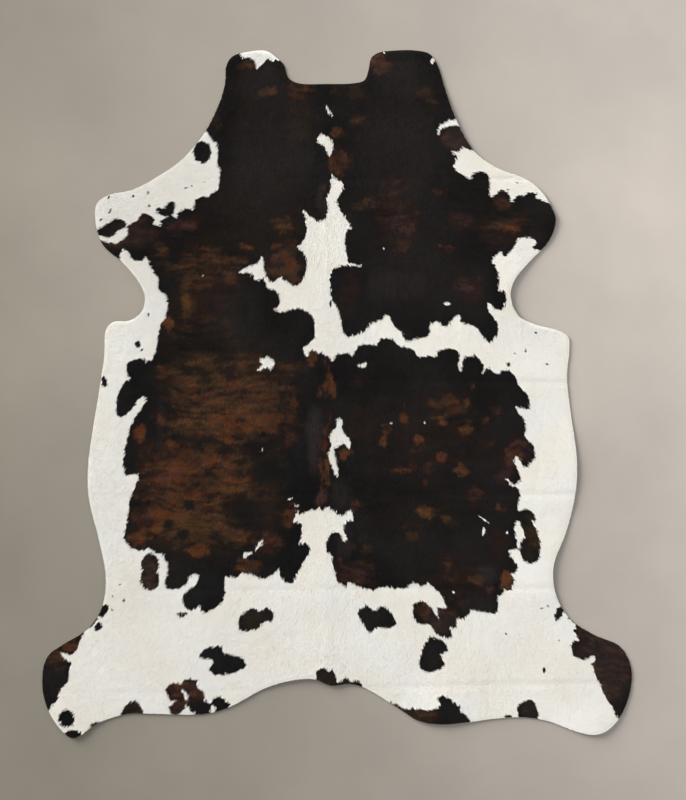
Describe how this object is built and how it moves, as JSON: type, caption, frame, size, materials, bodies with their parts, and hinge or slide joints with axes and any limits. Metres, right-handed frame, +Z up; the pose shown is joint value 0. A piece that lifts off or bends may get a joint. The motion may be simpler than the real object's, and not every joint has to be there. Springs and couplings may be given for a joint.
{
  "type": "cowhide rug",
  "caption": "Flat rug of one whole hair-on cowhide, cut round its natural outline with neck tabs, shanks and belly, lying hair side up.",
  "frame": {"origin": "on the floor, under the middle of the hide's box", "axes": "+Z up out of the coat, +Y along the back towards the neck, +X to the right in plan"},
  "size_m": [1.9714, 2.2996, 0.0165],
  "materials": {
    "coat": "short lying hair in white, black and brindled brown, with a soft sheen"
  },
  "bodies": {
    "root": {"hide": "coat"}
  },
  "joints": []
}
